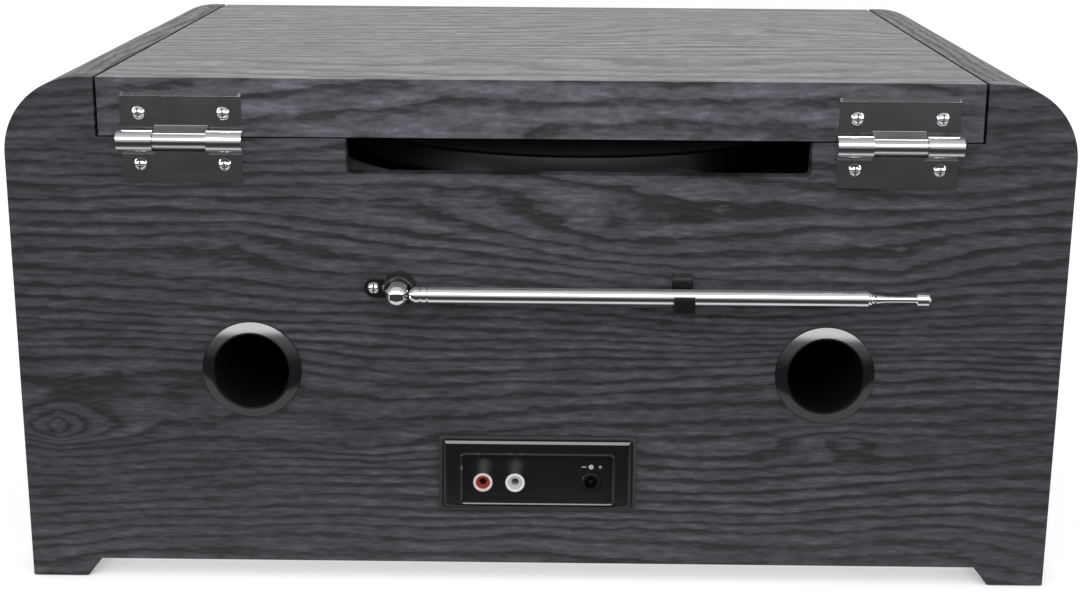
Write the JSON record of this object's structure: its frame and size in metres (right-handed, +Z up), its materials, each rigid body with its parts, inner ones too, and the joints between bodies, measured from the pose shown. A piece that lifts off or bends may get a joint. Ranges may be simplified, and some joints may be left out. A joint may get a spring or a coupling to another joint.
{
  "type": "stereo music centre",
  "caption": "Music centre in a black oak cabinet: record deck under a hinged lid, radio with tuning dial, disc drawer, ported loudspeakers and a telescopic antenna at the back",
  "frame": {"origin": "middle of the footprint, on the surface that the pads stand on", "axes": "+Z up, the front faces -Y, the hinged side with the sockets faces +Y"},
  "size_m": [0.44, 0.3393, 0.219],
  "materials": {
    "oak": "black-stained open-grain oak veneer, satin",
    "board": "bare chipboard and softwood",
    "pad": "black rubber",
    "lip": "dark satin moulding",
    "hinge": "nickel plated, polished",
    "screw": "bright plated, cross slot",
    "stay": "zinc plated",
    "black_plastic": "fine-grained black moulding",
    "antenna_chrome": "bright chrome",
    "socket_metal": "nickel plated",
    "socket_red": "red and white inserts",
    "deck_black": "black moulding, satin",
    "platter_metal": "cast and turned",
    "felt": "felt",
    "steel": "bright steel",
    "belt_rubber": "flat rubber belt",
    "motor_can": "plated sheet",
    "pulley_brass": "turned",
    "arm_silver": "satin anodised",
    "small_black": "satin moulding",
    "grille_cloth": "black knitted cloth on a frame",
    "basket": "black basket and magnet",
    "cone": "black paper cone",
    "dial_cream": "cream with plain numbers",
    "dial_clear": "clear acrylic",
    "needle": "orange-red",
    "cord_cotton": "thin braided cord",
    "knob_metal": "spun and anodised",
    "circuit": "green laminate with parts"
  },
  "bodies": {
    "cabinet": {"side_panel_left": "oak", "side_panel_right": "oak", "back_panel": "oak", "front_baffle": "oak", "bottom_panel": "board", "inner_boards": "board", "foot_pads": "pad", "case_leaves": "hinge", "hinge_pins": "hinge", "case_screws": "screw", "antenna_base": "black_plastic", "antenna_clip": "black_plastic", "port_tubes": "black_plastic", "rear_plate": "black_plastic", "rca_shells": "socket_metal", "rca_inserts": "socket_red", "dc_jack": "black_plastic", "deck_plate": "deck_black", "spindle": "steel", "drive_belt": "belt_rubber", "motor": "motor_can", "tonearm_base": "deck_black", "speaker_grilles": "grille_cloth", "speaker_drivers": "basket", "speaker_cones": "cone", "fascia": "black_plastic", "dial_scale": "dial_cream", "dial_window": "dial_clear", "dial_cord": "cord_cotton", "cd_loader": "motor_can", "main_board": "circuit", "control_board": "circuit"},
    "lid": {"lid_shell": "oak", "lid_front_lip": "lip", "lid_leaves": "hinge", "lid_screws": "screw", "lid_stay": "stay"},
    "antenna_swivel": {"antenna_fork": "antenna_chrome"},
    "antenna_outer": {"antenna_tube_1": "antenna_chrome"},
    "antenna_second": {"antenna_tube_2": "antenna_chrome"},
    "antenna_third": {"antenna_tube_3": "antenna_chrome"},
    "antenna_tip": {"antenna_rod": "antenna_chrome"},
    "turntable": {"platter": "platter_metal", "slipmat": "felt"},
    "motor_rotor": {"motor_pulley": "pulley_brass"},
    "arm_swivel": {"tonearm_yoke": "steel"},
    "arm": {"tonearm": "arm_silver", "cartridge": "small_black"},
    "arm_hook": {"arm_clip": "small_black"},
    "cueing": {"cue_lever": "steel"},
    "speed_knob": {"speed_lever": "small_black"},
    "volume": {"volume_knob": "knob_metal"},
    "function": {"function_knob": "knob_metal"},
    "tuning": {"tuning_knob": "knob_metal"},
    "pointer": {"dial_pointer": "needle"},
    "disc_drawer": {"cd_tray": "small_black"},
    "power_key": {"button_power": "knob_metal"},
    "play_key": {"button_play": "knob_metal"},
    "stop_key": {"button_stop": "knob_metal"},
    "skip_key": {"button_skip": "knob_metal"}
  },
  "joints": [
    {"name": "lid_hinge", "type": "hinge", "parent": "cabinet", "child": "lid", "pos_m": [0, 0.15505, 0.1937], "axis": [-1, 0, 0], "range_deg": [0, 72]},
    {"name": "antenna_swivel_turn", "type": "hinge", "parent": "cabinet", "child": "antenna_swivel", "pos_m": [0.0581, 0.16335, 0.132], "axis": [0, 1, 0], "range_deg": [0, 180]},
    {"name": "antenna_tilt", "type": "hinge", "parent": "antenna_swivel", "child": "antenna_outer", "pos_m": [0.0581, 0.16335, 0.132], "axis": [0, 0, -1], "range_deg": [0, 90]},
    {"name": "antenna_draw_1", "type": "slide", "parent": "antenna_outer", "child": "antenna_second", "axis": [-1, 0, 0], "range_m": [0, 0.155]},
    {"name": "antenna_draw_2", "type": "slide", "parent": "antenna_second", "child": "antenna_third", "axis": [-1, 0, 0], "range_m": [0, 0.155]},
    {"name": "antenna_draw_3", "type": "slide", "parent": "antenna_third", "child": "antenna_tip", "axis": [-1, 0, 0], "range_m": [0, 0.155]},
    {"name": "platter_spin", "type": "hinge", "parent": "cabinet", "child": "turntable", "pos_m": [-0.016, 0.02035, 0.172], "axis": [0, 0, 1], "continuous": true},
    {"name": "motor_spin", "type": "hinge", "parent": "cabinet", "child": "motor_rotor", "pos_m": [-0.06, 0.09656, 0.172], "axis": [0, 0, 1], "continuous": true},
    {"name": "tonearm_swing", "type": "hinge", "parent": "cabinet", "child": "arm_swivel", "pos_m": [0.136, 0.10035, 0.1975], "axis": [0, 0, -1], "range_deg": [0, 42]},
    {"name": "tonearm_lift", "type": "hinge", "parent": "arm_swivel", "child": "arm", "pos_m": [0.136, 0.10035, 0.1975], "axis": [-1, 0, 0], "range_deg": [0, 2]},
    {"name": "cue_lever_turn", "type": "hinge", "parent": "cabinet", "child": "cueing", "pos_m": [0.136, 0.07035, 0.1917], "axis": [-1, 0, 0], "range_deg": [0, 20]},
    {"name": "arm_hook_turn", "type": "hinge", "parent": "cabinet", "child": "arm_hook", "pos_m": [0.1452, -0.01765, 0.1975], "axis": [0, 0, 1], "range_deg": [0, 90]},
    {"name": "speed_slide", "type": "slide", "parent": "cabinet", "child": "speed_knob", "axis": [1, 0, 0], "range_m": [0, 0.012]},
    {"name": "volume_turn", "type": "hinge", "parent": "cabinet", "child": "volume", "pos_m": [-0.058, -0.14965, 0.112], "axis": [0, 1, 0], "range_deg": [0, 300]},
    {"name": "function_turn", "type": "hinge", "parent": "cabinet", "child": "function", "pos_m": [0, -0.14965, 0.112], "axis": [0, 1, 0], "range_deg": [0, 120]},
    {"name": "tuning_turn", "type": "hinge", "parent": "cabinet", "child": "tuning", "pos_m": [0.058, -0.14965, 0.112], "axis": [0, 1, 0], "range_deg": [0, 648]},
    {"name": "dial_pointer_slide", "type": "slide", "parent": "cabinet", "child": "pointer", "axis": [1, 0, 0], "range_m": [0, 0.1201]},
    {"name": "disc_drawer_slide", "type": "slide", "parent": "cabinet", "child": "disc_drawer", "axis": [0, -1, 0], "range_m": [0, 0.132]},
    {"name": "power_press", "type": "slide", "parent": "cabinet", "child": "power_key", "axis": [0, 1, 0], "range_m": [0, 0.0012], "stiffness_N_per_m": 900},
    {"name": "play_press", "type": "slide", "parent": "cabinet", "child": "play_key", "axis": [0, 1, 0], "range_m": [0, 0.0012], "stiffness_N_per_m": 900},
    {"name": "stop_press", "type": "slide", "parent": "cabinet", "child": "stop_key", "axis": [0, 1, 0], "range_m": [0, 0.0012], "stiffness_N_per_m": 900},
    {"name": "skip_press", "type": "slide", "parent": "cabinet", "child": "skip_key", "axis": [0, 1, 0], "range_m": [0, 0.0012], "stiffness_N_per_m": 900}
  ],
  "couplings": [
    {"joint": "motor_spin", "follows": "platter_spin", "ratio": 19.429},
    {"joint": "tonearm_lift", "follows": "cue_lever_turn", "ratio": 0.0895},
    {"joint": "dial_pointer_slide", "follows": "tuning_turn", "m_per_rad": 0.01061}
  ]
}
